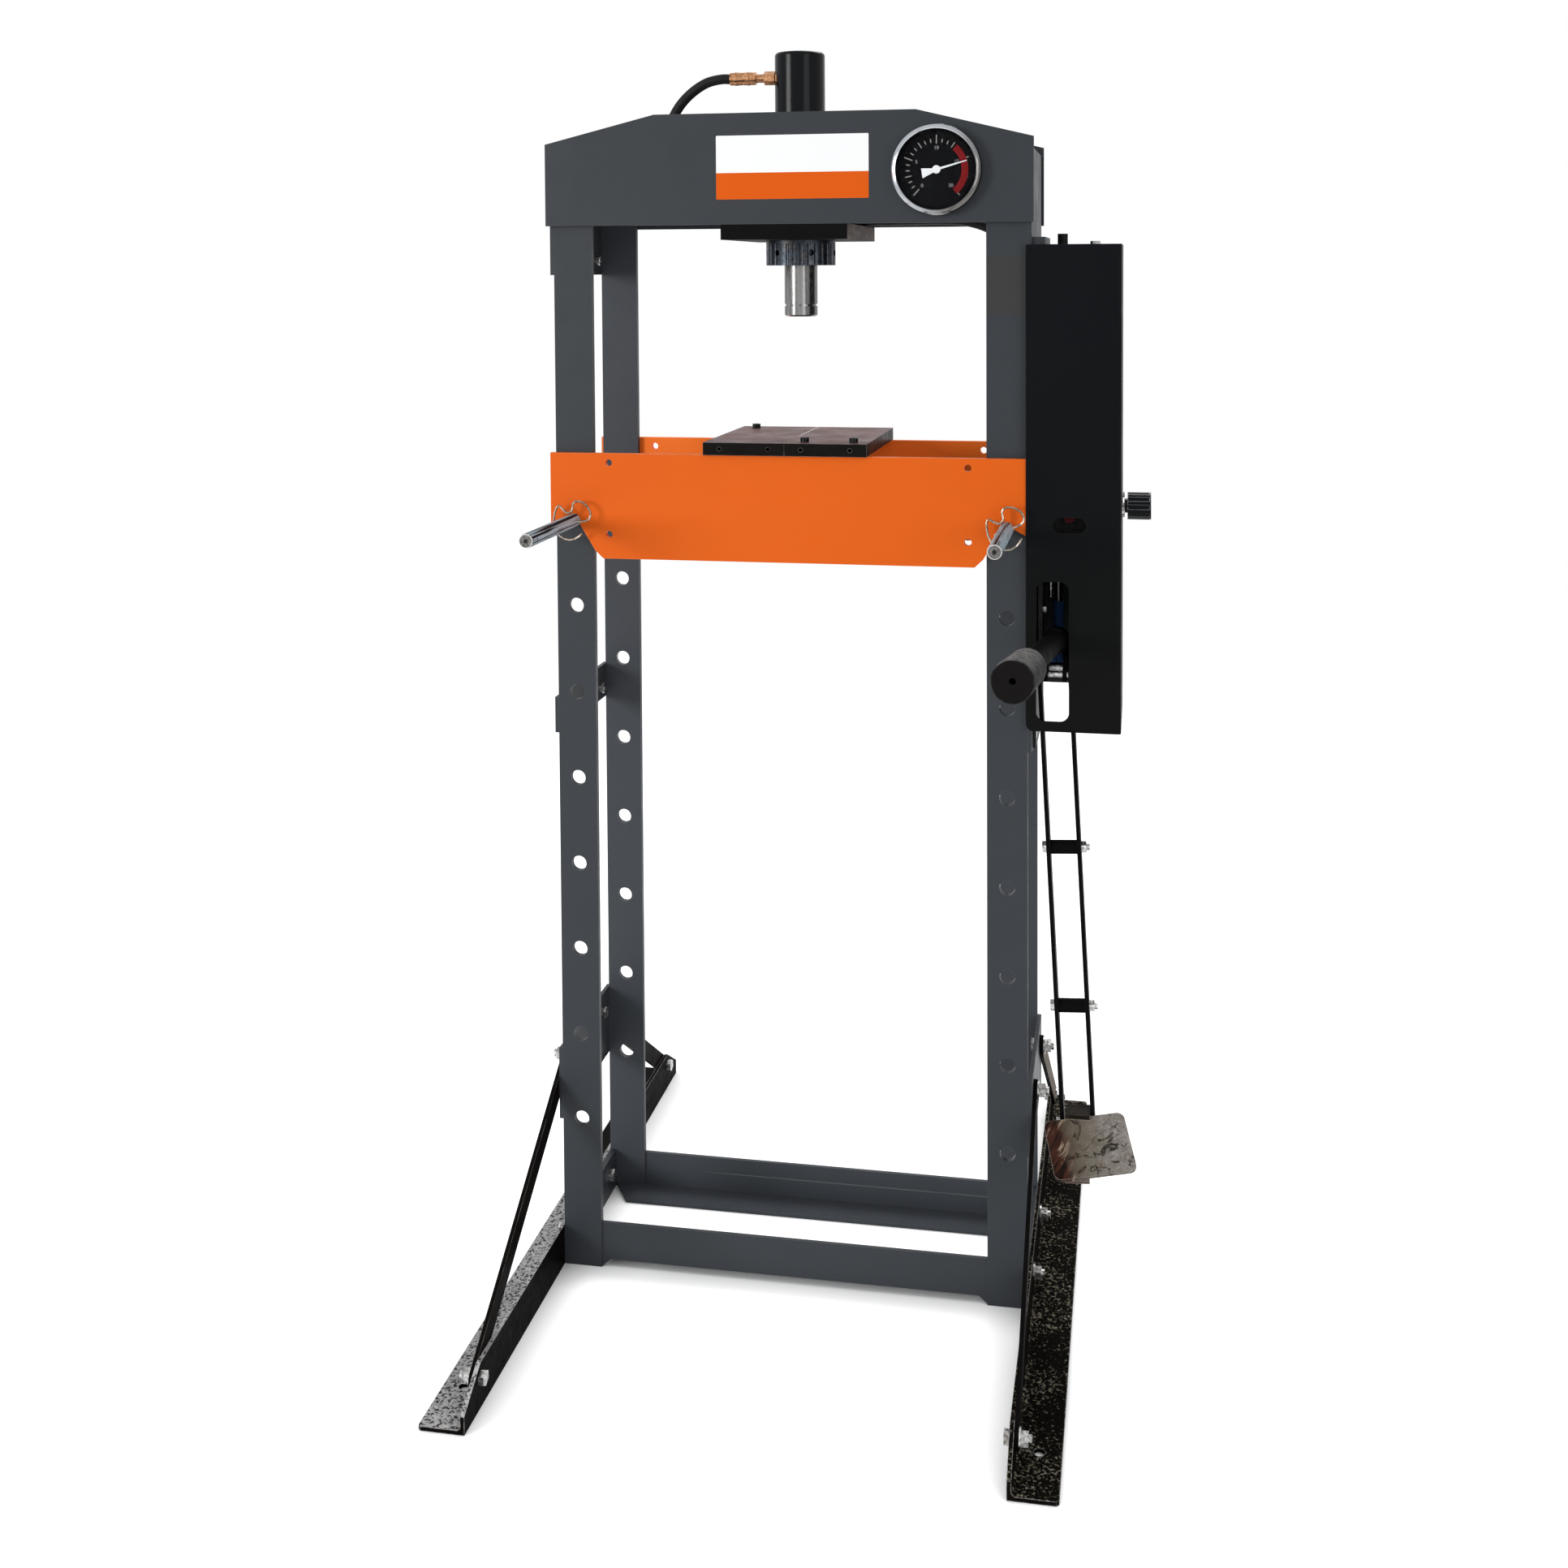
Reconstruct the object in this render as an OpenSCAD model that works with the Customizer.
// Hydraulic shop press: an H-frame of flat posts with a height-adjustable bed,
// a hand and foot pump beside the right column and a ram hanging from the top beam.
// Millimetres. Origin on the floor, midway between the columns and between the
// front and rear posts. +Z up, -Y is the working side, +X is the pump side.

/* [Frame] */
// Distance between the centre lines of the two columns
column_spacing = 550; // [500:5:640]
// Width of a post
post_w = 50; // [45:1:60]
// Thickness of a post
post_t = 8; // [6:0.5:12]
// Depth over the faces of the front and rear posts
frame_depth = 208; // [190:2:250]
// Diameter of the height holes in the posts
hole_d = 19.4; // [19.4:0.1:24]
// Height of the top hole, which now holds the bed pins
top_hole_z = 975; // [960:1:990]
// Distance between height holes
hole_pitch = 111.5; // [95:0.5:120]
// Number of height holes in a post
hole_count = 8; // [4:1:8]
// Thickness of the plates that tie a front post to its rear post
tie_t = 5; // [4:0.5:5]
// Thickness of the inner plates that the feet bolt to
shoe_t = 8; // [5:0.5:10]

/* [Top beam] */
// Height of the beam's underside above the floor
beam_bottom = 1348; // [1330:1:1500]
// Height of a beam plate at its ends
beam_end_h = 103; // [90:1:130]
// Height of a beam plate at its middle
beam_mid_h = 138; // [120:1:170]
// Length of the flat stretch on top of a beam plate
beam_flat = 330; // [200:5:400]
// Thickness of a beam plate
beam_t = 8; // [6:0.5:12]
// How far the beam plates reach past the posts
beam_overhang = 8; // [4:1:20]

/* [Base] */
// Leg of the base rail angles
rail_leg = 50; // [40:1:60]
// Thickness of the base rail angles
rail_t = 5; // [4:0.5:8]
// Gap between the front rail and the floor
front_rail_lift = 10; // [0:1:20]
// Length of a foot
foot_len = 900; // [860:10:1000]
// Width of a foot on the floor
foot_w = 55; // [48:1:65]
// Height of a foot's upright flange
foot_h = 52; // [46:1:60]
// Thickness of the foot angles
foot_t = 5; // [4:0.5:8]
// Diameter of a floor bolt hole
floor_hole_d = 13; // [9:0.5:16]
// Distance from the middle of a foot to a floor bolt hole
floor_hole_y = 375; // [360:5:400]
// Width of a brace
brace_w = 25; // [20:1:30]
// Thickness of a brace
brace_t = 5; // [4:0.5:8]
// Height of the upper brace bolts
brace_top_z = 260; // [245:1:268]
// Distance from the middle of a foot to a lower brace bolt
brace_foot_y = 400; // [390:5:410]

/* [Cylinder and ram] */
// Outer diameter of the cylinder
cylinder_d = 65; // [60:1:75]
// Height of the cylinder's top above the beam's underside
cylinder_top = 223; // [210:1:260]
// Diameter of the ram
ram_d = 43; // [38:0.5:46]
// How far the drawn-in ram hangs below the beam's underside
ram_drop = 117; // [100:1:140]
// Length of the mounting plate, across the press
mount_len = 160; // [140:1:200]
// Thickness of the mounting plate
mount_t = 19; // [12:1:25]
// Outer diameter of the ring nut
nut_d = 90; // [84:1:100]
// Height of the ring nut
nut_h = 32; // [24:1:40]

/* [Gauge] */
// Outer diameter of the bezel
bezel_d = 111; // [100:1:120]
// Distance from the middle of the beam to the gauge
gauge_x = 191; // [180:1:210]
// Height of the gauge's centre above the beam's underside
gauge_rise = 64; // [60:1:70]
// How far the bezel stands out from the beam
gauge_proud = 16; // [14:1:22]
// Rest angle of the pointer, from the right, anticlockwise
pointer_angle = 16; // [-30:1:200]

/* [Bed] */
// Height of a bed plate
bed_h = 134; // [126:1:150]
// Height of the bed plates' top above the pins' centre line
bed_rise = 86; // [80:1:95]
// Thickness of a bed plate
bed_t = 8; // [6:0.5:12]
// Diameter of a bed pin
pin_d = 17.5; // [14:0.5:18]
// How far the bed pins reach out in front of the bed
pin_reach = 176; // [120:2:220]
// Width of one press plate
press_plate_w = 103.5; // [90:0.5:110]
// How far a press plate reaches past the bed plates, front and back
press_plate_lip = 5; // [1:0.5:15]
// Thickness of a press plate
press_plate_t = 16; // [12:1:20]

/* [Pump] */
// Width of the pump cover
cover_w = 114.5; // [106:0.5:122]
// Height of the pump cover
cover_h = 592.5; // [585:0.5:620]
// Height of the pump cover's lower edge
cover_z = 728; // [715:1:735]
// Depth of the pump cover
cover_depth = 150; // [146:1:156]
// Thickness of the cover sheet
cover_t = 2; // [1.5:0.5:3]
// Diameter of the oil tank
tank_d = 88; // [70:1:90]
// Diameter of the pump plunger
plunger_d = 10; // [8:0.5:12]

/* [Hand lever] */
// Distance from the lever's pivot to the rod pin in front of it
rod_arm = 40; // [38:0.5:41]
// Distance from the lever's pivot to the plunger behind it
plunger_arm = 44; // [42:0.5:46]
// Diameter of the lever tube
lever_d = 25; // [20:0.5:26]
// Length of the lever tube and grip in front of the pivot
lever_len = 772; // [500:2:900]
// Rise of the lever at rest, in degrees
lever_rise = 9.2; // [5:0.1:12]
// Diameter of the grip
grip_d = 37; // [32:0.5:40]
// Length of the grip
grip_len = 186; // [120:2:220]

/* [Pedal] */
// Length of a pedal rod from the rod pin to its lower end
rod_len = 575; // [500:5:600]
// Width of a pedal rod
rod_w = 20; // [16:0.5:22]
// Thickness of a pedal rod
rod_t = 5; // [4:0.5:6]
// Distance between the centres of the pedal rods
rod_gap = 37.5; // [37:0.5:40]
// Outward lean of the pedal rods, in degrees
rod_lean = 2.9; // [0:0.1:3.5]
// Width of the tread
tread_w = 99; // [80:1:110]
// Length of the tread
tread_l = 80; // [60:1:86]
// Tilt of the tread towards the operator, in degrees
tread_tilt = 28; // [20:1:40]
// Turn of the tread about the rods, in degrees
tread_turn = 11.5; // [0:0.5:15]
// Sideways slope of the tread against the rods, in degrees
tread_roll = 3.5; // [0:0.5:5]

/* [Hidden] */
$fn = 48;
fine = 96;
play = 0.3;
half_w = column_spacing / 2;
half_d = frame_depth / 2;
post_out = half_w + post_w / 2;
post_in = half_w - post_w / 2;
post_top = beam_bottom + 92;
tie_out = post_out + tie_t;
beam_face = half_d + beam_t;
beam_half = post_out + beam_overhang;
upper_tie_z = beam_bottom - 62;
middle_tie_z = 698;
middle_tie_h = 46;
lower_tie_z = 192;
lower_tie_h = 93;
foot_corner = 3;
foot_end_h = 21;
foot_slope = 50;
foot_root = 5;
floor_hole_x = post_out + 30;
shoe_bolt_y = 70;
shoe_bolt_z = 28;
brace_top_y = 65;
brace_foot_z = 35;
tie_bolt_y = 70;
tie_bolt_upper = upper_tie_z + 20;
tie_bolt_middle = middle_tie_z + 17;
small_bolt_d = 8;
base_bolt_d = 10;

cylinder_end = beam_bottom + cylinder_top;
neck_d = cylinder_d - 5;
flange_d = cylinder_d + 19;
flange_h = 8;
bore_d = 52;
ram_end = beam_bottom - ram_drop;
ram_top = cylinder_end - 41;
neck_end = beam_bottom - mount_t - nut_h + 2;
gland_top = beam_bottom - 8;
port_z = cylinder_end - 31;
spring_wire = 3;
spring_r = 8.5;
spring_turns = 26;
spring_top = cylinder_end - 13;
spring_low = ram_end + 34;

gauge_z = beam_bottom + gauge_rise;
case_d = bezel_d - 11;
case_deep = 20;
dial_y = -beam_face - 4;

seat_play = 0.25;
rest_gap = 0.05;
pin_z = top_hole_z - (hole_d - pin_d) / 2 + rest_gap;
seat_z = pin_z - seat_play + rest_gap;
pin_front = half_d + bed_t + pin_reach;
pin_head_d = 28;
bed_half = post_out + 5;
bed_z = pin_z + bed_rise;
press_plate_l = frame_depth + 2 * bed_t + 2 * press_plate_lip;
bed_face = half_d + bed_t;
clip_y = -bed_face - 12;
clip_wire = 2.8;
bed_bolt_d = 9;
PLATE_SCREWS = [[22, 10 - half_d], [84, 10 - half_d], [-80, half_d - 16]];

cover_x = post_out - 1.5;
cover_side = cover_x + cover_w;
cover_bend = 4;
cover_corner = 9;
sight_slot_x = post_out + 31;
sight_slot_w = 40;
sight_slot_h = 19;
sight_slot_z = 971;
lever_slot_x = post_out + 11;
lever_slot_w = 39.5;
lever_slot_h = 171;
cover_front = -half_d - bed_t - cover_t - play;
cover_top = cover_z + cover_h;
pump_x = post_out + 33;
lever_y = -half_d + 54;
lever_z = cover_z + 66;
lever_lift = 33.4;
lug_gap = 9;
lug_t = 5;
ear_gap = 17;
ear_t = 5;
ear_r = 18;
socket_d = 32;
socket_front = 56;
socket_back = 6;
pivot_d = 10;
block_z = 935;
block_h = 82;
block_x = tie_out + 4;
block_w = 66;
block_front = lever_y - 18;
back_y = cover_front + cover_depth + play;
back_t = 4;
back_low = cover_z + 26;
block_deep = back_y - block_front;
cap_x = pump_x + 17;
cap_z = 986;
tank_x = pump_x + 27.5;
tank_y = lever_y + 34;
tank_z = block_z + block_h;
tank_top = cover_top - cover_t - play;
plunger_y = lever_y + plunger_arm;
plunger_z = lever_z + 58;
plunger_len = 118;
clevis_cone = lever_z + 51;
clevis_top = lever_z + 75;
ear_screw_z = lever_z + 73;
stop_x = pump_x - 9;
stop_y = lever_y + 30;
stop_z = lever_z + 82.5;
stop_d = 6.5;
stop_sunk = 12;
valve_z = 994;
valve_y = -22;
knob_x = cover_side + 6.5;
knob_d = 34;
knob_len = 29;
stem_d = 8;
stem_end = knob_x + 11;
screw_ring = 14;
SCREW_TURNS = [80, 200, 300];
filler_x = pump_x + 7;
filler_y = cover_front + 66;
lid_screw = 40;
bracket_w = 160;
bracket_t = 4;
rod_y = lever_y - rod_arm;
rod_shift = -0.25;
spacer_drops = [215, 413];
spacer_d = 17;
rod_foot = 14;
rod_bolt_d = 8;
rod_pin_d = 8;
hose_d = 13;
tread_t = 4;
strip_t = 5;
strip_w = 29;
strip_shift = 1;
tread_corner = 9;
tread_at = [15.7, -50, -3];

// Hose route, from the ferrule on the cylinder, round inside the beam, over the
// mounting plate and down inside the right column to the ferrule on the pump
HOSE = [[-92, 0, 1540], [-106, 0, 1540], [-126, 0, 1535], [-148, 2, 1521], [-166, 6, 1502], [-180, 12, 1476],
    [-184, 20, 1448], [-180, 28, 1420], [-166, 36, 1394], [-146, 42, 1374], [-120, 47, 1360],
    [-92, 50, 1356], [-60, 51, 1355], [-20, 51, 1355], [20, 51, 1355], [60, 50, 1355],
    [100, 45, 1355], [140, 36, 1355], [180, 24, 1355], [212, 14, 1353], [240, 8, 1345],
    [262, 6, 1331], [276, 5, 1312], [284, 5, 1288], [285, 5, 1260], [285, 5, 1220],
    [285, 5, 1180], [285, 5, 1140], [285, 5, 1100], [285, 5, 1060], [285, 5, 1042]];

// Hose ends
hose_x = HOSE[0][0];
last_x = HOSE[len(HOSE) - 1][0];
last_y = HOSE[len(HOSE) - 1][1];
last_z = HOSE[len(HOSE) - 1][2];

// Wire of a hitch clip, in the plane across the pin and from its centre: a straight
// leg through the pin, a D-shaped eye, a peak over the pin and a bow below it
CLIP = [[-15, 0], [-8, 0], [0, 0], [8, 0], [14, 0.4], [20, 1], [24.4, 3.2], [26.6, 8], [26, 13.4],
    [23, 19], [17.6, 23.8], [11.8, 26], [6.6, 25.6], [3.6, 22.4], [3, 17.6], [1.6, 13], [-2, 11],
    [-6, 11.4], [-9.4, 14.6], [-12.6, 18.4], [-16, 19.8], [-18.8, 16.4], [-20.8, 9.6], [-22.2, 2],
    [-21.8, -5.6], [-19, -12.4], [-14.6, -18], [-8.3, -22], [-1.4, -23.4], [5.5, -22], [11, -18.8],
    [15, -15]];
left_turn = 0;
right_turn = 21;

// ---------- shared shapes ----------

module along_y(y, r, h) {
    translate([0, y, 0]) rotate([-90, 0, 0]) cylinder(r = r, h = h);
}

module along_x(x, r, h) {
    translate([x, 0, 0]) rotate([0, 90, 0]) cylinder(r = r, h = h);
}

module rounded_rect(w, h, r) {
    translate([r, 0]) square([w - 2 * r, h]);
    translate([0, r]) square([w, h - 2 * r]);
    for (x = [r, w - r], y = [r, h - r]) translate([x, y]) circle(r = r);
}

// Hexagon bolt along +X: head outside x0, shank through, washer and nut past x1
module bolt_x(x0, x1, d, tail = 4, washer = 0) {
    head_h = 0.64 * d;
    nut_h = 0.8 * d;
    across = 0.9 * d;
    along_x(x0 - head_h, across, head_h, $fn = 6);
    along_x(x0 - 0.1, d / 2, x1 - x0 + washer + nut_h + tail);
    difference() {
        union() {
            along_x(x1 + washer, across, nut_h, $fn = 6);
            if (washer > 0) along_x(x1, 1.15 * d, washer);
        }
        along_x(x1 - 1, d / 2, washer + nut_h + 2);
    }
}

// Tube of radius r swept along a list of points, with n sides. No stretch runs along "across"
module swept(p, r, n, across) {
    last = len(p) - 1;
    t = [for (i = [0:last]) unit(p[min(i + 1, last)] - p[max(i - 1, 0)])];
    ring = [for (i = [0:last])
        let (side = unit(cross(t[i], across)), up = cross(side, t[i]))
        for (k = [0:n - 1]) p[i] + r * (cos(k * 360 / n) * side + sin(k * 360 / n) * up)];
    wall = [for (i = [0:last - 1], k = [0:n - 1], half = [0, 1])
        let (a = i * n + k, b = i * n + (k + 1) % n) half == 0 ? [a, b, b + n] : [a, b + n, a + n]];
    ends = [for (k = [1:n - 2], end = [0, 1])
        end == 0 ? [0, k + 1, k] : [last * n, last * n + k, last * n + k + 1]];
    polyhedron(ring, concat(wall, ends), convexity = 8);
}

function unit(v) = v / norm(v);

// ---------- columns ----------

module post(side, front) {
    y0 = front ? -half_d : half_d - post_t;
    color("#41464a") difference() {
        translate([side * half_w - post_w / 2, y0, 0]) cube([post_w, post_t, post_top]);
        for (i = [0:hole_count - 1]) translate([side * half_w, 0, top_hole_z - i * hole_pitch])
            along_y(y0 - 1, hole_d / 2, post_t + 2);
    }
}

module left_front_post() { post(-1, true); }
module left_rear_post() { post(-1, false); }
module right_front_post() { post(1, true); }
module right_rear_post() { post(1, false); }

module tie_plates(side) {
    x0 = side > 0 ? post_out : -tie_out;
    shoe_x = side > 0 ? post_out - shoe_t : -post_out;
    color("#41464a") {
        difference() {
            translate([x0, -half_d, upper_tie_z]) cube([tie_t, frame_depth, post_top - upper_tie_z]);
            translate([0, 0, tie_bolt_upper]) bracket_holes(x0 - 1, tie_t + 2);
        }
        difference() {
            translate([x0, -half_d, middle_tie_z]) cube([tie_t, frame_depth, middle_tie_h]);
            translate([0, 0, tie_bolt_middle]) bracket_holes(x0 - 1, tie_t + 2);
        }
        difference() {
            translate([x0, -half_d, lower_tie_z]) cube([tie_t, frame_depth, lower_tie_h]);
            for (y = [-brace_top_y, brace_top_y]) translate([0, y, brace_top_z])
                along_x(x0 - 1, base_bolt_d / 2 + play, tie_t + 2);
        }
        difference() {
            translate([shoe_x, -half_d + post_t, 0]) cube([shoe_t, frame_depth - 2 * post_t, foot_h]);
            for (y = [-shoe_bolt_y, shoe_bolt_y]) translate([0, y, shoe_bolt_z])
                along_x(shoe_x - 1, base_bolt_d / 2 + play, shoe_t + 2);
        }
    }
}

// Holes for the bolts that hold the bracket to the upper and middle ties
module bracket_holes(x0, h) {
    for (y = [-tie_bolt_y, tie_bolt_y]) translate([0, y, 0])
        along_x(x0, small_bolt_d / 2 + play, h);
}

module left_tie_plates() { tie_plates(-1); }
module right_tie_plates() { tie_plates(1); }

// ---------- top beam ----------

module beam_outline() {
    polygon([[-beam_half, 0], [beam_half, 0], [beam_half, beam_end_h], [beam_flat / 2, beam_mid_h],
        [-beam_flat / 2, beam_mid_h], [-beam_half, beam_end_h]]);
}

module beam_plate(y0) {
    translate([0, y0 + beam_t, beam_bottom]) rotate([90, 0, 0]) linear_extrude(beam_t) beam_outline();
}

module beam_front_plate() {
    color("#41464a") difference() {
        beam_plate(-beam_face);
        translate([gauge_x, 0, gauge_z]) along_y(-beam_face - 1, case_d / 2 + play, beam_t + 2, $fn = fine);
    }
}

module beam_rear_plate() {
    color("#41464a") beam_plate(half_d);
}

// ---------- base ----------

module front_base_rail() {
    color("#41464a") {
        translate([-post_in, -half_d + 2, front_rail_lift]) {
            cube([2 * post_in, rail_t, rail_leg - 2]);
            cube([2 * post_in, rail_leg, rail_t]);
        }
    }
}

module rear_base_rail() {
    toe = half_d - rail_leg;
    color("#41464a") {
        translate([-post_in, half_d - rail_t, 0]) cube([2 * post_in, rail_t, rail_leg]);
        linear_extrude(rail_t) polygon([[-post_in, half_d], [-post_in, half_d - post_t],
            [-post_out + shoe_t + 2, half_d - post_t], [-post_in - 15, toe], [post_in + 15, toe],
            [post_out - shoe_t - 2, half_d - post_t], [post_in, half_d - post_t], [post_in, half_d]]);
    }
}

module foot(side) {
    color("#1d1e20") difference() {
        mirror([side < 0 ? 1 : 0, 0, 0]) translate([post_out, 0, 0]) difference() {
            translate([0, foot_len / 2, 0]) rotate([90, 0, 0]) linear_extrude(foot_len) foot_section();
            for (end = [0, 1]) mirror([0, end, 0]) translate([0, foot_len / 2, 0]) {
                translate([foot_w, 0, 0]) rotate([0, 0, 45])
                    cube([foot_corner * sqrt(2), foot_corner * sqrt(2), 3 * foot_t], center = true);
                translate([-1, 0, foot_end_h]) rotate([90, 0, 90]) linear_extrude(foot_t + foot_root + 2)
                    polygon([[0, 0], [1, 0], [1, foot_h], [-foot_slope, foot_h],
                        [-foot_slope, foot_h - foot_end_h]]);
            }
        }
        for (y = [-floor_hole_y, floor_hole_y]) translate([side * floor_hole_x, y, -1])
            cylinder(d = floor_hole_d, h = foot_t + 2);
        for (p = [[-shoe_bolt_y, shoe_bolt_z], [shoe_bolt_y, shoe_bolt_z], [-brace_foot_y, brace_foot_z],
            [brace_foot_y, brace_foot_z]]) translate([0, p[0], p[1]])
            along_x(side * post_out - foot_t - 1, base_bolt_d / 2 + play, 2 * foot_t + 2);
    }
}

// Rolled angle with a rounded root
module foot_section() {
    square([foot_t, foot_h]);
    square([foot_w, foot_t]);
    difference() {
        translate([foot_t, foot_t]) square(foot_root);
        translate([foot_t + foot_root, foot_t + foot_root]) circle(r = foot_root);
    }
}

module left_foot() { foot(-1); }
module right_foot() { foot(1); }

// Flat bar with round ends, from the lower tie plate down to the foot
module brace(side, front) {
    x0 = side > 0 ? tie_out : -tie_out - brace_t;
    run = brace_foot_y - brace_top_y;
    drop = brace_top_z - brace_foot_z;
    reach = sqrt(run * run + drop * drop);
    dir = front ? -1 : 1;
    color("#1d1e20") translate([0, dir * brace_top_y, brace_top_z]) rotate([-dir * atan2(drop, run), 0, 0])
        difference() {
            union() {
                translate([x0, dir > 0 ? 0 : -reach, -brace_w / 2]) cube([brace_t, reach, brace_w]);
                for (s = [0, reach]) translate([0, dir * s, 0]) along_x(x0, brace_w / 2, brace_t);
            }
            for (s = [0, reach]) translate([0, dir * s, 0])
                along_x(x0 - 1, base_bolt_d / 2 + play, brace_t + 2);
        }
}

module left_braces() {
    brace(-1, true);
    brace(-1, false);
}

module right_braces() {
    brace(1, true);
    brace(1, false);
}

module frame_bolts() {
    brace_out = tie_out + brace_t;
    color("#b9bcbe") for (z = [tie_bolt_middle, tie_bolt_upper], y = [-tie_bolt_y, tie_bolt_y])
        translate([0, y, z]) bolt_x(-tie_out, -post_out, small_bolt_d, 1);
    color("#b9bcbe") for (side = [0, 1], dir = [-1, 1]) mirror([side, 0, 0]) {
        translate([0, dir * shoe_bolt_y, shoe_bolt_z])
            bolt_x(post_out - shoe_t, post_out + foot_t, base_bolt_d, washer = 2);
        translate([0, dir * brace_top_y, brace_top_z]) bolt_x(post_out, brace_out, base_bolt_d, washer = 2);
        translate([0, dir * brace_foot_y, brace_foot_z])
            bolt_x(post_out, brace_out, base_bolt_d, washer = 2);
    }
}

// ---------- cylinder and ram ----------

module cylinder_mount_plate() {
    color("#232425") difference() {
        translate([-mount_len / 2, -beam_face, beam_bottom - mount_t])
            cube([mount_len, 2 * beam_face, mount_t]);
        translate([0, 0, beam_bottom - mount_t - 1])
            cylinder(d = neck_d + 2 * play, h = mount_t + 2, $fn = fine);
    }
}

module cylinder_body() {
    crown = 4;
    color("#18191a") difference() {
        rotate_extrude($fn = fine) difference() {
            union() {
                translate([0, neck_end]) square([neck_d / 2, cylinder_end - neck_end]);
                translate([0, beam_bottom]) square([flange_d / 2, flange_h]);
                translate([0, beam_bottom]) square([cylinder_d / 2, cylinder_end - crown - beam_bottom]);
                translate([0, cylinder_end - crown]) square([cylinder_d / 2 - crown, crown]);
                translate([cylinder_d / 2 - crown, cylinder_end - crown]) circle(r = crown);
            }
            difference() {
                translate([0, neck_end - 1]) square([bore_d / 2, cylinder_end - neck_end - 10]);
                translate([0, spring_top - 9]) square([spring_r - spring_wire, 12]);
            }
        }
        translate([0, 0, port_z]) along_x(-cylinder_d, 4, cylinder_d);
        translate([0, 0, gauge_z]) along_y(-cylinder_d, 2, cylinder_d);
    }
}

module cylinder_gland() {
    color("#b08d57") rotate_extrude($fn = fine) difference() {
        translate([ram_d / 2 + 0.05, neck_end]) square([(bore_d - ram_d) / 2 - 0.1, gland_top - neck_end]);
        translate([ram_d / 2, gland_top - 14]) square([3.2, 6]);
    }
}

module ram_seal() {
    color("#202020") rotate_extrude($fn = fine) translate([ram_d / 2 + 0.1, gland_top - 13.8])
        square([2.9, 5.6]);
}

// Ring nut with a fluted rim and radial spanner holes
module ring_nut() {
    flutes = 30;
    low = beam_bottom - mount_t - nut_h;
    color("#6d7276") difference() {
        translate([0, 0, low]) cylinder(d = nut_d, h = nut_h, $fn = fine);
        translate([0, 0, low - 1]) cylinder(d = neck_d + 0.1, h = nut_h + 2, $fn = fine);
        for (i = [0:flutes - 1]) rotate([0, 0, (i + 0.5) * 360 / flutes])
            translate([nut_d / 2 + 1.2, 0, low - 1]) cylinder(r = 2.6, h = nut_h - 3, $fn = 24);
        for (i = [0:5]) rotate([0, 0, i * 60 - 62]) translate([0, 0, low + nut_h / 2])
            along_x(nut_d / 2 - 9, 4, 12);
    }
}

// Hollow ram with a stop collar at the top and a retaining groove near its nose
module ram() {
    nose = 2;
    color("#c9cccf") difference() {
        rotate_extrude($fn = fine) difference() {
            union() {
                polygon([[0, ram_end], [ram_d / 2 - nose, ram_end], [ram_d / 2, ram_end + nose],
                    [ram_d / 2, ram_top], [0, ram_top]]);
                translate([0, ram_top - 18]) square([bore_d / 2 - 0.4, 18]);
            }
            translate([ram_d / 2 - 1.5, ram_end + 13]) square([4, 3]);
            difference() {
                translate([0, spring_low - 4]) square([13, ram_top]);
                translate([0, spring_low - 5]) square([spring_r - spring_wire, 12]);
            }
        }
        for (i = [0:3]) rotate([0, 0, 45 + i * 90]) translate([bore_d / 2, 0, ram_top - 19])
            cylinder(r = 2, h = 20);
    }
}

// Extension spring that draws the ram back in
module return_spring() {
    steps = 8 * spring_turns;
    rise = (spring_top - spring_low) / steps;
    route = [for (i = [0:steps]) [spring_r * cos(i * 45), spring_r * sin(i * 45), spring_low + i * rise]];
    color("#8d9194") swept(route, spring_wire / 2, 6, [0, 0, 1]);
}

// ---------- hose ----------

module hose_fittings() {
    color("#b87340") {
        translate([0, 0, port_z]) {
            difference() {
                union() {
                    along_x(-cylinder_d / 2 - 14, 9, 14, $fn = 6);
                    along_x(hose_x + 33, 5.5, -cylinder_d / 2 - hose_x - 46);
                    along_x(hose_x, 8.2, 34);
                    for (x = [6, 22]) along_x(hose_x + x, 8.7, 4);
                }
                along_x(hose_x - 1, 3, -hose_x);
            }
        }
        translate([last_x, last_y, 0]) {
            difference() {
                translate([0, 0, last_z - 34]) cylinder(r = 8.2, h = 34);
                translate([0, 0, last_z - 40]) cylinder(r = 3, h = 50);
            }
            difference() {
                union() {
                    translate([0, 0, valve_z]) cylinder(r = 6, h = last_z - 34 - valve_z);
                    translate([0, 0, valve_z]) along_x(0, 6, block_x - last_x);
                    translate([0, 0, valve_z]) sphere(r = 6);
                }
                translate([0, 0, valve_z]) cylinder(r = 3, h = 60);
            }
        }
    }
}

module hydraulic_hose() {
    color("#141414") swept(HOSE, hose_d / 2, 10, [0, 1, 0]);
}

// ---------- gauge ----------

module gauge_part(y, r, h) {
    translate([gauge_x, 0, gauge_z]) along_y(y, r, h, $fn = fine);
}

module gauge_case() {
    wall = 1.5;
    color("#2a2b2c") difference() {
        union() {
            gauge_part(-beam_face, case_d / 2, case_deep);
            gauge_part(-beam_face - 4, bezel_d / 2 - 3, 4);
            translate([gauge_x, 0, gauge_z]) along_y(-beam_face + case_deep, 9, 10, $fn = 6);
            gauge_part(-beam_face - 4, 3, case_deep - 6);
        }
        difference() {
            gauge_part(-beam_face - 5, case_d / 2 - wall, case_deep + 5 - wall);
            gauge_part(-beam_face - 5, 3, case_deep + 5);
        }
        gauge_part(-beam_face - 5, 1.6, 12);
    }
}

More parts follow.
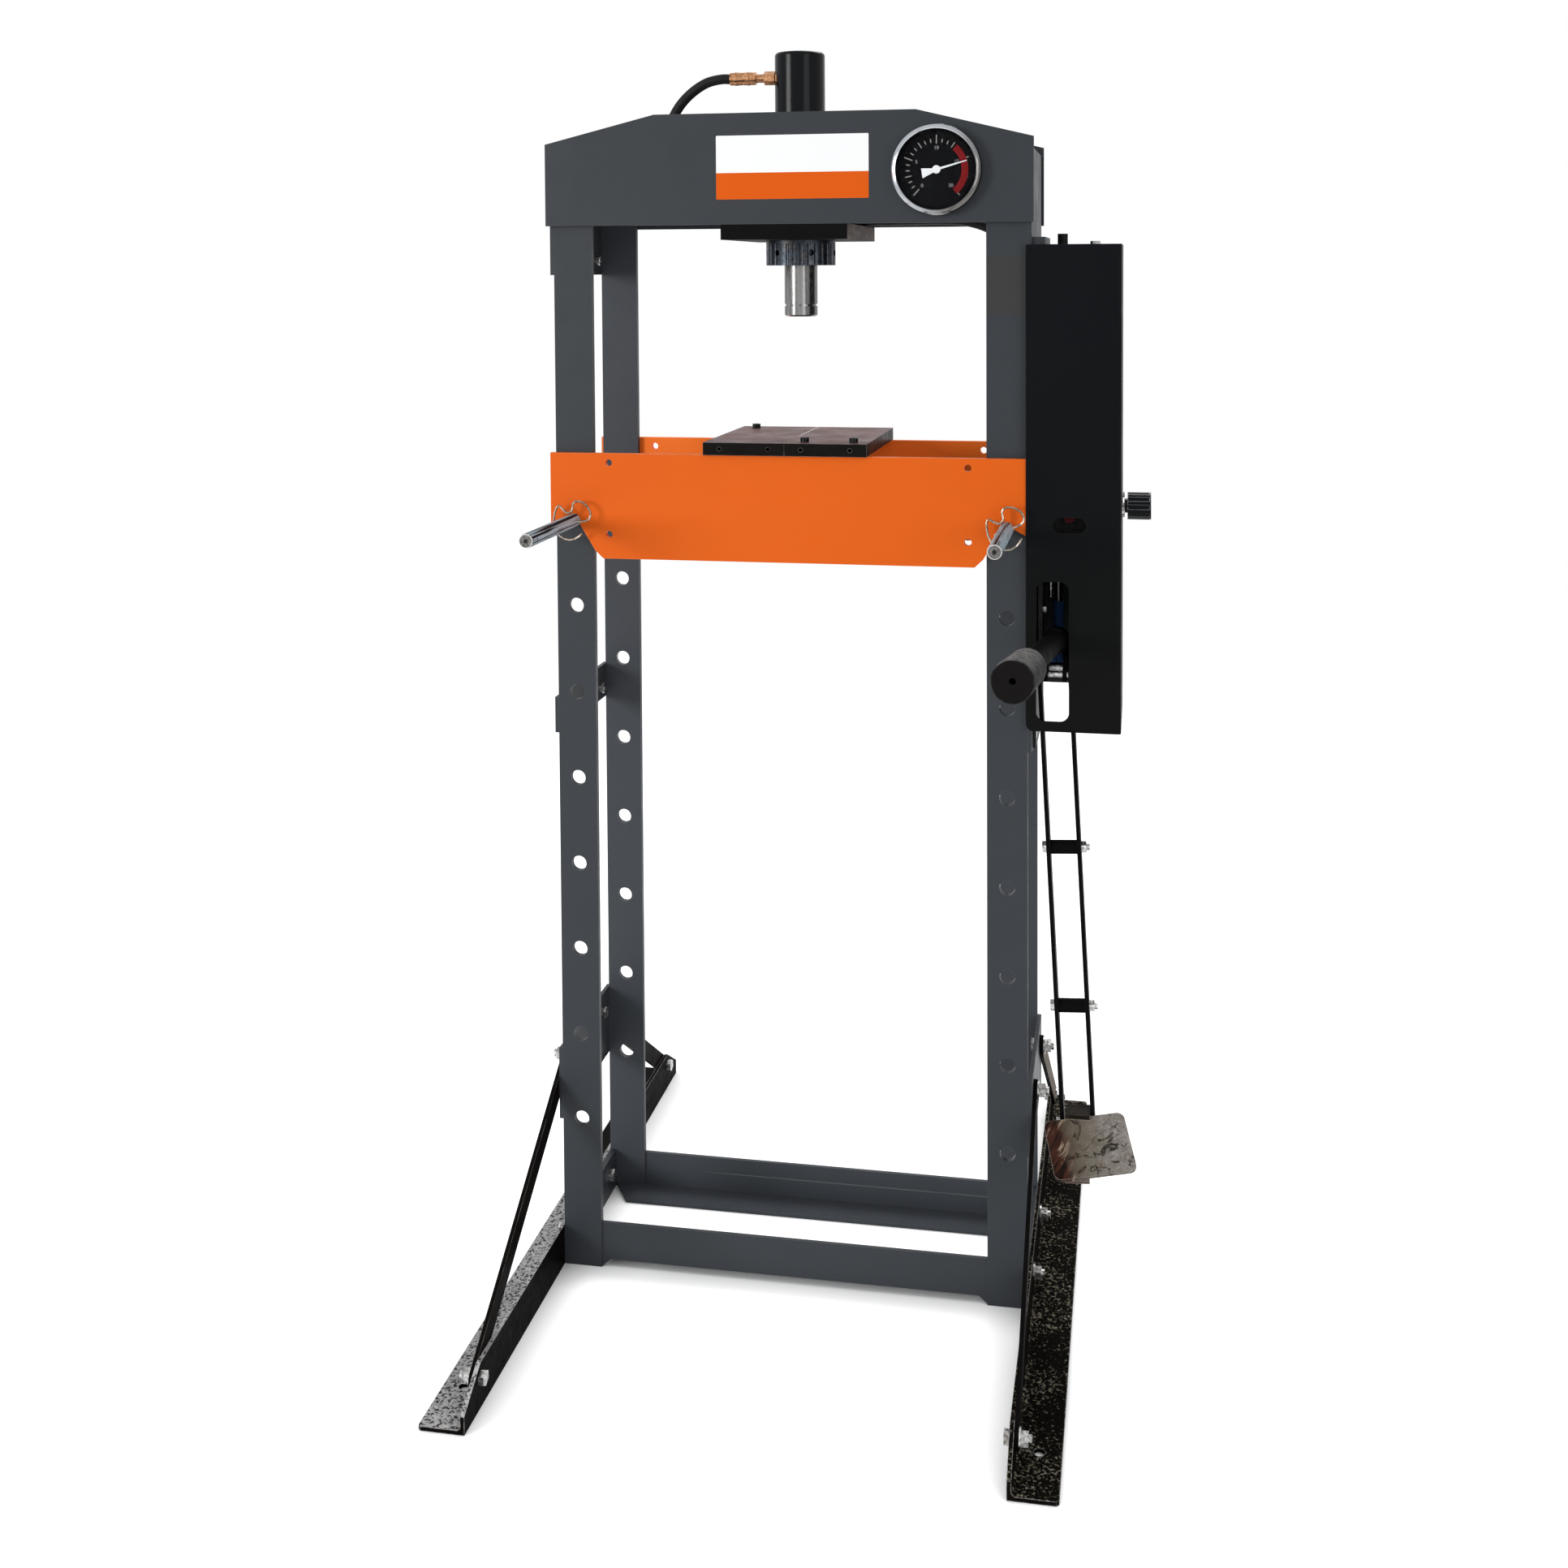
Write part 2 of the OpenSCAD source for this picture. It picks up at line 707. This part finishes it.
// Rolled ring that clamps the glass over the case
module gauge_bezel() {
    r = bezel_d / 2;
    front = gauge_proud;
    color("#c8cacc") translate([gauge_x, -beam_face, gauge_z]) rotate([90, 0, 0]) rotate_extrude($fn = fine)
        polygon([[r - 2.8, 0], [r - 0.4, 0], [r, 1.5], [r, front - 6], [r - 1.2, front - 2.6],
            [r - 3.4, front - 0.6], [r - 5, front], [r - 6.2, front - 0.6], [r - 6.8, front - 2.4],
            [r - 6.8, front - 3.8], [r - 2.8, front - 3.8]]);
}

module gauge_dial() {
    color("#101112") difference() {
        gauge_part(dial_y - 1, bezel_d / 2 - 3.2, 1);
        gauge_part(dial_y - 2, 3.5, 3);
    }
}

// Pointer with a broad tail, on the arbor
module gauge_pointer() {
    tip = case_d * 0.385;
    tail = case_d * 0.19;
    color("#e8e8e8") translate([gauge_x, dial_y - 2.2, gauge_z]) rotate([90, 0, 0])
        rotate([0, 0, pointer_angle]) {
            difference() {
                union() {
                    linear_extrude(0.8) polygon([[-tail, -5.5], [-tail + 1.5, 6.5], [-3, 2.2], [3, 1.4],
                        [tip, 0.5], [tip, -0.5], [3, -1.4], [-3, -2.2]]);
                    cylinder(r = 5, h = 1.6);
                }
                translate([0, 0, -1]) cylinder(r = 1.3, h = 2);
            }
            translate([0, 0, -9]) cylinder(r = 1.3, h = 10);
        }
}

module gauge_glass() {
    color("#dfe8ee40") gauge_part(-beam_face - gauge_proud + 3.8 + 0.1, bezel_d / 2 - 3.2, 2);
}

module gauge_line() {
    bend = 15;
    r = 3;
    y0 = -beam_face + case_deep + 18;
    color("#b9bcbe") translate([0, 0, gauge_z]) {
        difference() {
            translate([gauge_x - 8, y0 - 8, -8]) cube([16, 16, 16]);
            along_y(y0 - 20, 2, 20);
        }
        translate([0, y0, 0]) along_x(bend, r, gauge_x - 8 - bend);
        translate([bend, y0 + bend, 0]) rotate([0, 0, 180]) rotate_extrude(angle = 90)
            translate([bend, 0]) circle(r = r);
        along_y(y0 + bend, r, -cylinder_d / 2 - 8 - y0 - bend);
        difference() {
            along_y(-cylinder_d / 2 - 12, 7, 12, $fn = 6);
            along_y(-cylinder_d / 2 - 13, r, 5);
            cylinder(d = cylinder_d, h = 30, center = true, $fn = fine);
        }
    }
}

// ---------- bed ----------

// Bed plate: its ends hook over the pins with a rounded seat in an open notch
module bed_outline() {
    low = bed_z - bed_h;
    seat = pin_d / 2 + seat_play;
    half = [[half_w - 39, low], [half_w - 28.5, low + 10], [half_w - seat, seat_z - 5.5],
        [half_w - seat, seat_z], [half_w + seat, seat_z], [bed_half, seat_z - 11], [bed_half, bed_z]];
    difference() {
        polygon(concat(half, [for (i = [len(half) - 1:-1:0]) [-half[i][0], half[i][1]]]));
        for (s = [-1, 1]) {
            translate([s * half_w, seat_z]) circle(r = seat);
            for (z = [bed_z - 12, low + 31]) translate([s * (half_w - 47), z]) circle(d = bed_bolt_d);
        }
    }
}

module bed_plate(y0) {
    translate([0, y0 + bed_t, 0]) rotate([90, 0, 0]) linear_extrude(bed_t) bed_outline();
}

module bed_front_plate() {
    color("#e26626") bed_plate(-bed_face);
}

module bed_rear_plate() {
    color("#e26626") bed_plate(half_d);
}

module bed_spacers() {
    color("#e26626") for (s = [-1, 1])
        translate([s * 175 - 5, -half_d, bed_z - bed_h + 10]) cube([10, frame_depth, 80]);
}

module press_plate(side) {
    x0 = side > 0 ? 0.15 : -press_plate_w - 0.15;
    tapped = 14;
    color("#262321") difference() {
        translate([x0, -press_plate_l / 2, bed_z]) cube([press_plate_w, press_plate_l, press_plate_t]);
        for (dx = [-31, 31], end = [0, 1])
            translate([side * press_plate_w / 2 + dx, 0, bed_z + press_plate_t / 2]) mirror([0, end])
                along_y(press_plate_l / 2 - tapped, 2.6, tapped + 1);
        for (p = PLATE_SCREWS) translate([p[0], p[1], bed_z + press_plate_t - 12]) cylinder(r = 4, h = 14);
    }
}

module left_press_plate() { press_plate(-1); }
module right_press_plate() { press_plate(1); }

module press_plate_screws() {
    color("#1b1b1c") for (p = PLATE_SCREWS)
        translate([p[0], p[1], bed_z + press_plate_t]) difference() {
            union() {
                translate([0, 0, -11]) cylinder(r = 3.9, h = 11);
                cylinder(r = 5.5, h = 6);
            }
            translate([0, 0, 3]) cylinder(r = 2.9, h = 4, $fn = 6);
        }
}

module bed_pin(side, turn) {
    head_y = bed_face + 3;
    color("#b4b8bb") translate([side * half_w, 0, pin_z]) rotate([0, -turn, 0]) difference() {
        union() {
            along_y(-pin_front + 2, pin_d / 2, pin_front - 2 + head_y);
            along_y(-pin_front, pin_d / 2 - 2, 3);
            along_y(head_y, pin_head_d / 2, 7);
        }
        along_y(-pin_front - 1, 2.2, 7);
        for (y = [clip_y, -pin_front + 16]) translate([0, y, 0])
            along_x(-pin_d, clip_wire / 2 + 0.2, 2 * pin_d);
    }
}

module left_pin() { bed_pin(-1, left_turn); }
module right_pin() { bed_pin(1, right_turn); }

module bed_clip(side, turn) {
    color("#c9b48a") translate([side * half_w, clip_y, pin_z]) rotate([0, -turn, 0])
        swept([for (p = CLIP) [p[0], 0, p[1]]], clip_wire / 2, 8, [0, 1, 0]);
}

module left_clip() { bed_clip(-1, left_turn); }
module right_clip() { bed_clip(1, right_turn); }

// ---------- pump ----------

// Countersunk head that ends flush with the bracket's face, and the start of its shank
module flat_head(gap) {
    shank_r = small_bolt_d / 2 + gap;
    head_r = small_bolt_d - 1 + gap;
    rotate([0, 90, 0]) {
        translate([0, 0, -1]) cylinder(r = shank_r, h = bracket_t + 1);
        translate([0, 0, 1]) cylinder(r1 = shank_r, r2 = head_r, h = bracket_t - 1);
        if (gap > 0) translate([0, 0, bracket_t]) cylinder(r = head_r, h = 1);
    }
}

// Plain nut on a stub of shank, facing +X
module nut_x(x1, d) {
    along_x(x1 - 0.8 * d, 0.9 * d, 0.8 * d, $fn = 6);
}

// Plate on the column's outer ties, a back plate that the pump hangs from and a lug on top
module pump_bracket() {
    low = middle_tie_z;
    color("#1d1e20") {
        difference() {
            translate([tie_out, -bracket_w / 2, low]) cube([bracket_t, bracket_w, cover_top - 2 - low]);
            for (z = [tie_bolt_middle, tie_bolt_upper], y = [-tie_bolt_y, tie_bolt_y])
                translate([tie_out, y, z]) flat_head(play);
            translate([0, last_y, valve_z]) along_x(tie_out - 1, 9, bracket_t + 2);
        }
        translate([tie_out, back_y, back_low])
            cube([cover_side - tie_out, back_t, cover_top - back_low]);
        translate([tie_out, -bracket_w / 2, cover_top - 2.1]) cube([bracket_t, bracket_w, 2.4]);
        translate([tie_out, cover_front + 14, cover_top + play]) cube([16, bracket_w - 40, 9]);
    }
}

// Folded sheet: front, right side and top, open behind, below and on the left
module pump_cover() {
    lid_x = tie_out + bracket_t + play;
    color("#1a1b1c") difference() {
        union() {
            translate([0, 0, cover_z]) linear_extrude(cover_h) cover_section();
            translate([lid_x, cover_front, cover_top - cover_t]) linear_extrude(cover_t)
                bent_corner(cover_side - lid_x, cover_depth);
        }
        corner_cut();
        cover_slot(sight_slot_x, sight_slot_z, sight_slot_w, sight_slot_h, sight_slot_h / 2 - 0.1);
        cover_slot(lever_slot_x, cover_z + 12.5, lever_slot_w, lever_slot_h, 11);
        translate([0, valve_y, valve_z]) {
            along_x(cover_side - 4, 7, 8);
            cover_screw_places() along_x(cover_side - 4, 2.3, 8);
        }
        translate([filler_x, filler_y, cover_top - 5]) cylinder(r = 7.5, h = 10);
        translate([filler_x + lid_screw, filler_y, cover_top - 5]) cylinder(r = 3.3, h = 10);
    }
}

module cover_section() {
    translate([cover_x, cover_front]) square([cover_w - cover_bend, cover_t]);
    translate([cover_side - cover_t, cover_front + cover_bend]) square([cover_t, cover_depth - cover_bend]);
    translate([cover_side - cover_bend, cover_front + cover_bend]) intersection() {
        difference() {
            circle(r = cover_bend);
            circle(r = cover_bend - cover_t);
        }
        translate([0, -cover_bend]) square(cover_bend);
    }
}

// Rectangle with one rounded corner, at the front right
module bent_corner(w, d) {
    square([w - cover_bend, d]);
    translate([0, cover_bend]) square([w, d - cover_bend]);
    translate([w - cover_bend, cover_bend]) circle(r = cover_bend);
}

module cover_screw_places() {
    for (a = SCREW_TURNS) translate([0, screw_ring * cos(a), screw_ring * sin(a)]) children();
}

// Round corner at the front's lower left
module corner_cut() {
    r = cover_corner;
    translate([cover_x, cover_front - 1, cover_z]) difference() {
        translate([-1, 0, -1]) cube([r + 1, cover_t + 2, r + 1]);
        translate([r, -1, r]) rotate([-90, 0, 0]) cylinder(r = r, h = cover_t + 4);
    }
}

// Round-cornered slot in the cover's front
module cover_slot(x, z, w, h, r) {
    translate([x, cover_front + cover_t + 1, z]) rotate([90, 0, 0])
        linear_extrude(cover_t + 2) rounded_rect(w, h, r);
}

// Screws of the cover, bolts of the bracket, a screw in the ear and a stop rod below the block
module pump_screws() {
    screw_x = block_x + block_w + 2;
    color("#b9bcbe") {
        translate([0, valve_y, valve_z]) cover_screw_places() {
            along_x(cover_side, 3.8, 3);
            along_x(screw_x, 2, cover_side - screw_x + 0.1);
        }
        translate([filler_x + lid_screw, filler_y, cover_top]) cylinder(r = 6.2, h = 4.5, $fn = 6);
        translate([filler_x + lid_screw, filler_y, cover_top - cover_t]) cylinder(r = 3, h = cover_t + 0.1);
        for (z = [tie_bolt_middle, tie_bolt_upper], y = [-tie_bolt_y, tie_bolt_y]) translate([0, y, z]) {
            translate([tie_out, 0, 0]) flat_head(0);
            along_x(post_out - 1, small_bolt_d / 2, tie_t + 1.1);
            nut_x(post_out, small_bolt_d);
        }
        translate([pump_x - ear_gap, lever_y, ear_screw_z]) {
            along_x(0, 5.2, 4, $fn = 6);
            along_x(-ear_t, 3, ear_t + 0.1);
        }
        translate([stop_x, stop_y, stop_z]) cylinder(d = stop_d, h = block_z + stop_sunk - stop_z);
    }
}

// Oil tank: a tube with a flat lid, standing on the pump block
module pump_tank() {
    color("#2c2d2f") translate([tank_x, tank_y, 0]) difference() {
        union() {
            translate([0, 0, tank_z]) cylinder(d = tank_d, h = tank_top - tank_z, $fn = fine);
            translate([0, 0, tank_z]) cylinder(d = tank_d + 4, h = 6, $fn = fine);
        }
        translate([0, 0, tank_z + 6]) cylinder(d = tank_d - 5, h = tank_top - tank_z - 10, $fn = fine);
        translate([filler_x - tank_x, filler_y - tank_y, tank_top - 6]) cylinder(r = 5, h = 8);
    }
}

module filler_cap() {
    color("#111111") translate([filler_x, filler_y, 0]) {
        translate([0, 0, tank_top - 3]) cylinder(r = 4.8, h = 5);
        difference() {
            translate([0, 0, tank_top + cover_t]) cylinder(r = 6.3, h = 14);
            for (i = [0:11]) rotate([0, 0, i * 30]) translate([6.9, 0, tank_top + cover_t + 2])
                cylinder(r = 0.9, h = 14, $fn = 16);
        }
        translate([0, 0, tank_top + 1.9]) cylinder(r = 6.3, h = cover_t - 1.8);
    }
}

// Cast pump body with two ears that carry the lever's pivot
module pump_block() {
    color("#3a3c3e") difference() {
        union() {
            translate([block_x, block_front, block_z]) cube([block_w, block_deep, block_h]);
            for (x = [pump_x - ear_gap - ear_t, pump_x + ear_gap]) ear(x);
            translate([0, valve_y, valve_z]) along_x(block_x + block_w, screw_ring + 4, 2);
            translate([pump_x, plunger_y, block_z - 14]) cylinder(r = 13, h = 15);
            translate([cap_x, 0, cap_z]) along_y(block_front - 6, 9, 7, $fn = 6);
        }
        translate([pump_x, plunger_y, block_z - 15]) cylinder(r = plunger_d / 2 + 0.05, h = 86);
        translate([stop_x, stop_y, block_z - 1]) cylinder(d = stop_d + 0.1, h = stop_sunk + 1);
        translate([0, valve_y, valve_z]) along_x(pump_x, stem_d / 2 + 0.1, 60);
    }
}

module ear(x) {
    difference() {
        union() {
            translate([0, lever_y, lever_z]) along_x(x, ear_r, ear_t);
            translate([x, lever_y - ear_r, lever_z]) cube([ear_t, 2 * ear_r, block_z - lever_z + 1]);
        }
        translate([0, lever_y, lever_z]) along_x(x - 1, pivot_d / 2 + 0.1, ear_t + 2);
        if (x < pump_x) translate([0, lever_y, ear_screw_z]) along_x(x - 1, 3.1, ear_t + 2);
    }
}

module valve_cap() {
    color("#8e1f22") difference() {
        translate([cap_x, 0, cap_z]) along_y(block_front - 14, 7, 8);
        translate([cap_x, 0, cap_z]) along_y(block_front - 15, 4, 3, $fn = 6);
    }
}

module pump_plunger() {
    color("#c9cccf") translate([pump_x, plunger_y, plunger_z]) cylinder(d = plunger_d, h = plunger_len);
}

// Clevis on the plunger's lower end, with the cross pin that the lever's fork lifts
module plunger_clevis() {
    neck_r = 6;
    reach = lug_gap + lug_t - 0.2;
    color("#2f5c9e") translate([pump_x, plunger_y, 0]) {
        difference() {
            union() {
                translate([0, 0, lever_z - 9]) cylinder(r = neck_r, h = clevis_cone - lever_z + 9);
                translate([0, 0, clevis_cone]) cylinder(r1 = neck_r, r2 = 7.3, h = clevis_top - clevis_cone);
            }
            translate([0, 0, plunger_z]) cylinder(r = plunger_d / 2 + 0.05, h = 30);
        }
        translate([0, 0, lever_z]) along_x(-reach, 5, 2 * reach);
    }
}

// ---------- hand lever ----------

module lever_pivot_bolt() {
    color("#b9bcbe") translate([pump_x, lever_y, lever_z]) {
        along_x(-ear_gap - ear_t - 1.5, 7.5, 1.5);
        along_x(-ear_gap - ear_t - 0.1, pivot_d / 2, 2 * (ear_gap + ear_t) + 8);
        difference() {
            along_x(ear_gap + ear_t, 8.5, 7, $fn = 6);
            along_x(ear_gap + ear_t - 1, pivot_d / 2, 10);
        }
    }
}

// Welded rocker: a tube socket on two lugs, with the pivot, rod pin and fork
module lever_socket() {
    axis_up = [0, lever_y, lever_z];
    color("#1f2022") translate([pump_x, 0, 0]) difference() {
        union() {
            translate(axis_up) rotate([-lever_rise, 0, 0]) translate([0, 0, lever_lift])
                along_y(-socket_front, socket_d / 2, socket_front + socket_back);
            for (x = [-lug_gap - lug_t, lug_gap]) lug(x);
        }
        translate(axis_up) rotate([-lever_rise, 0, 0]) translate([0, 0, lever_lift])
            along_y(-socket_front - 1, lever_d / 2 + 0.1, socket_front + socket_back + 2);
        translate([0, rod_y, lever_z]) along_x(-30, rod_pin_d / 2 + 0.08, 60);
        translate(axis_up) along_x(-30, pivot_d / 2 + 0.05, 60);
    }
}

module lug(x) {
    profile = [[-rod_arm - 10, -8], [-rod_arm + 4, -11], [12, -13], [plunger_arm + 12, -14],
        [plunger_arm + 15, -10], [plunger_arm + 15, -7.6], [plunger_arm - 8, -7.6],
        [plunger_arm - 8, 7.6], [plunger_arm + 8, 7.6], [plunger_arm + 8, 13], [28, 26],
        [20, lever_lift - 10], [-20, lever_lift - 4], [-rod_arm - 2, 11], [-rod_arm - 10, 6]];
    translate([x, lever_y, lever_z]) rotate([90, 0, 90]) linear_extrude(lug_t) polygon(profile);
}

module lever_axis() {
    translate([pump_x, lever_y, lever_z]) rotate([-lever_rise, 0, 0])
        translate([0, 0, lever_lift]) children();
}

module lever_tube() {
    color("#17181a") lever_axis() difference() {
        along_y(-lever_len + 12, lever_d / 2, lever_len - 12 + socket_back - 4);
        along_y(-lever_len + 11, lever_d / 2 - 2.5, lever_len + socket_back);
    }
}

// Rubber grip with a rounded front end, a vent hole and a thinner rear edge
module lever_grip() {
    color("#6f6e6c") lever_axis() translate([0, -lever_len, 0]) rotate([-90, 0, 0])
        rotate_extrude($fn = fine) grip_section();
}

module grip_section() {
    r = grip_d / 2;
    difference() {
        union() {
            translate([0, 2]) square([r, grip_len - 5]);
            square([r - 2, 4]);
            translate([r - 2, 2]) circle(r = 2);
            translate([0, grip_len - 3]) square([r - 1.5, 3]);
        }
        translate([0, 12]) square([lever_d / 2, grip_len]);
        translate([0, -1]) square([3, 20]);
    }
}

// ---------- release valve ----------

module release_stem() {
    stem_x = pump_x + 14;
    color("#b9bcbe") translate([0, valve_y, valve_z]) along_x(stem_x, stem_d / 2, stem_end - stem_x);
}

module release_knob() {
    grooves = 10;
    color("#151516") translate([0, valve_y, valve_z]) difference() {
        union() {
            along_x(knob_x, knob_d / 2, knob_len);
            along_x(knob_x - 4, 9, 5);
        }
        for (i = [0:grooves - 1]) rotate([i * 360 / grooves, 0, 0]) translate([0, knob_d / 2 + 2.5, 0])
            along_x(knob_x - 1, 4, knob_len - 1);
        along_x(knob_x - 5, stem_d / 2 + 0.05, stem_end - knob_x + 5);
    }
}

// ---------- pedal ----------

// Frame of the hanging rods: origin on the rod pin, leaning outwards
module rod_frame() {
    translate([pump_x + rod_shift, rod_y, lever_z]) rotate([0, -rod_lean, 0]) children();
}

module rod(side) {
    x0 = side * rod_gap / 2 - rod_t / 2;
    color("#1a1b1c") difference() {
        rod_frame() difference() {
            union() {
                translate([x0, -rod_w / 2, -rod_len]) cube([rod_t, rod_w, rod_len]);
                along_x(x0, rod_w / 2, rod_t);
            }
            for (z = concat(spacer_drops, [rod_len - rod_foot])) translate([0, 0, -z])
                along_x(x0 - 1, rod_bolt_d / 2 + play, rod_t + 2);
        }
        translate([pump_x, rod_y, lever_z]) along_x(-rod_gap, rod_pin_d / 2 + 0.1, 2 * rod_gap);
    }
}

module left_rod() { rod(-1); }
module right_rod() { rod(1); }

module rod_spacers() {
    inner = rod_gap / 2 - rod_t / 2;
    color("#161617") rod_frame() for (z = spacer_drops) translate([0, 0, -z]) difference() {
        along_x(-inner, spacer_d / 2, 2 * inner);
        along_x(-inner - 1, rod_bolt_d / 2 + play, 2 * inner + 2);
    }
}

module rod_bolts() {
    outer = rod_gap / 2 + rod_t / 2;
    color("#b9bcbe") {
        rod_frame() for (z = concat(spacer_drops, [rod_len - rod_foot])) translate([0, 0, -z])
            bolt_x(-outer, outer, rod_bolt_d);
        translate([pump_x + rod_shift, rod_y, lever_z]) {
            along_x(-outer - 1, rod_pin_d / 2, 2 * outer + 6);
            along_x(-outer - 1.9, 7, 1.4);
            along_x(outer + 0.5, 7, 3.5);
        }
    }
}

// Tread: a round-cornered plate welded askew to a bent bar that bolts between the rods
module pedal_tread() {
    color("#8b8178") rod_frame() translate([0, 0, rod_foot - rod_len]) {
        difference() {
            translate([strip_shift - strip_w / 2, 0, 0]) {
                translate([0, -rod_w / 2 - 10, -11]) cube([strip_w, rod_w + 10, 30]);
                strip_place() translate([0, -tread_l / 2 - 4, -strip_t])
                    cube([strip_w, tread_l + 3, strip_t]);
            }
            along_x(-rod_gap, rod_bolt_d / 2 + play, 2 * rod_gap);
        }
        translate(tread_at) rotate([0, 0, tread_turn]) rotate([0, -tread_roll, 0]) rotate([tread_tilt, 0, 0])
            translate([-tread_w / 2, -tread_l / 2, -tread_t]) linear_extrude(tread_t)
                rounded_rect(tread_w, tread_l, tread_corner);
    }
}

// The bar runs straight forward, just under the tread
module strip_place() {
    translate([0, tread_at[1], tread_at[2] - 3.2]) rotate([tread_tilt, 0, 0]) children();
}

left_front_post();
left_rear_post();
right_front_post();
right_rear_post();
left_tie_plates();
right_tie_plates();
beam_front_plate();
beam_rear_plate();
front_base_rail();
rear_base_rail();
left_foot();
right_foot();
left_braces();
right_braces();
frame_bolts();
cylinder_mount_plate();
cylinder_body();
cylinder_gland();
ram_seal();
ring_nut();
ram();
return_spring();
hose_fittings();
hydraulic_hose();
gauge_case();
gauge_bezel();
gauge_dial();
gauge_pointer();
gauge_glass();
gauge_line();
bed_front_plate();
bed_rear_plate();
bed_spacers();
left_press_plate();
right_press_plate();
press_plate_screws();
left_pin();
right_pin();
left_clip();
right_clip();
pump_bracket();
pump_cover();
pump_screws();
pump_tank();
filler_cap();
pump_block();
valve_cap();
pump_plunger();
plunger_clevis();
lever_pivot_bolt();
lever_socket();
lever_tube();
lever_grip();
release_stem();
release_knob();
left_rod();
right_rod();
rod_spacers();
rod_bolts();
pedal_tread();
